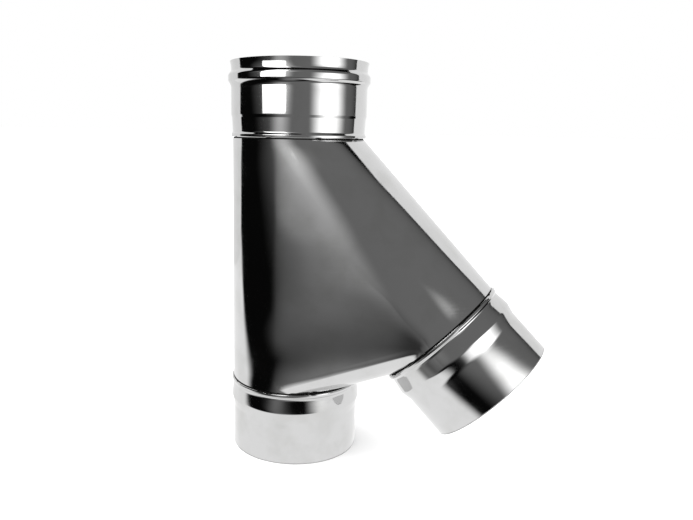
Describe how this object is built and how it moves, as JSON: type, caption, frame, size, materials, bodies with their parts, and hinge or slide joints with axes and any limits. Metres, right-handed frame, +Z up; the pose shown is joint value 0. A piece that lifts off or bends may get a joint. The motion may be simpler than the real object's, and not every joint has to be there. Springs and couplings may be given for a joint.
{
  "type": "angled flue tee",
  "caption": "Single-wall polished steel flue tee: a beaded socket on top, a plain spigot below and a slanted spigot branch, joined to a wrapped sheet body by rolled seams.",
  "frame": {"origin": "centre of the lower spigot's rim, on the main axis", "axes": "+Z up along the main flue axis towards the socket, +X towards the branch, +Y completes the right-handed frame"},
  "size_m": [0.2792, 0.1224, 0.344],
  "materials": {
    "polished_stainless": "bright polished stainless sheet, nearly mirror-like"
  },
  "bodies": {
    "root": {"top_socket": "polished_stainless", "body_shell": "polished_stainless", "lower_spigot": "polished_stainless", "branch_spigot": "polished_stainless"}
  },
  "joints": []
}
